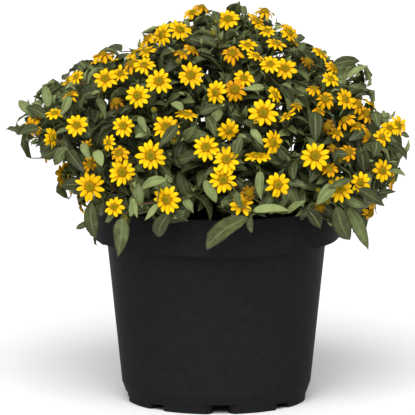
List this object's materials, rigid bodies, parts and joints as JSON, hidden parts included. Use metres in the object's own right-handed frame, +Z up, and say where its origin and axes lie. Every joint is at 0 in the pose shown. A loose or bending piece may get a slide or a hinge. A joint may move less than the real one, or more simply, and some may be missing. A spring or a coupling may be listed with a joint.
{
  "type": "potted creeping zinnia",
  "caption": "Creeping zinnia in a tapered black nursery pot: a dense dome of leafy stems with small yellow daisy heads.",
  "frame": {"origin": "centre of the pot's flat foot, on the ground", "axes": "+Z up along the pot's axis, -Y to the front that the picture shows, +X to that view's right"},
  "size_m": [0.2828, 0.256, 0.281],
  "materials": {
    "pot": "matte moulded",
    "soil": "crumbly compost",
    "plant": "matte leaves, yellow rays"
  },
  "bodies": {
    "root": {"pot": "pot", "soil": "soil", "leafy_stem_01": "plant", "leafy_stem_02": "plant", "leafy_stem_03": "plant", "leafy_stem_04": "plant", "leafy_stem_05": "plant", "leafy_stem_06": "plant", "leafy_stem_07": "plant", "leafy_stem_08": "plant", "leafy_stem_09": "plant", "leafy_stem_10": "plant", "leafy_stem_11": "plant", "leafy_stem_12": "plant", "leafy_stem_13": "plant", "leafy_stem_14": "plant", "leafy_stem_15": "plant", "leafy_stem_16": "plant", "leafy_stem_17": "plant", "leafy_stem_18": "plant", "leafy_stem_19": "plant", "leafy_stem_20": "plant", "leafy_stem_21": "plant", "leafy_stem_22": "plant", "leafy_stem_23": "plant", "leafy_stem_24": "plant", "leafy_stem_25": "plant", "leafy_stem_26": "plant", "leafy_stem_27": "plant", "leafy_stem_28": "plant", "leafy_stem_29": "plant", "leafy_stem_30": "plant", "leafy_stem_31": "plant"}
  },
  "joints": []
}
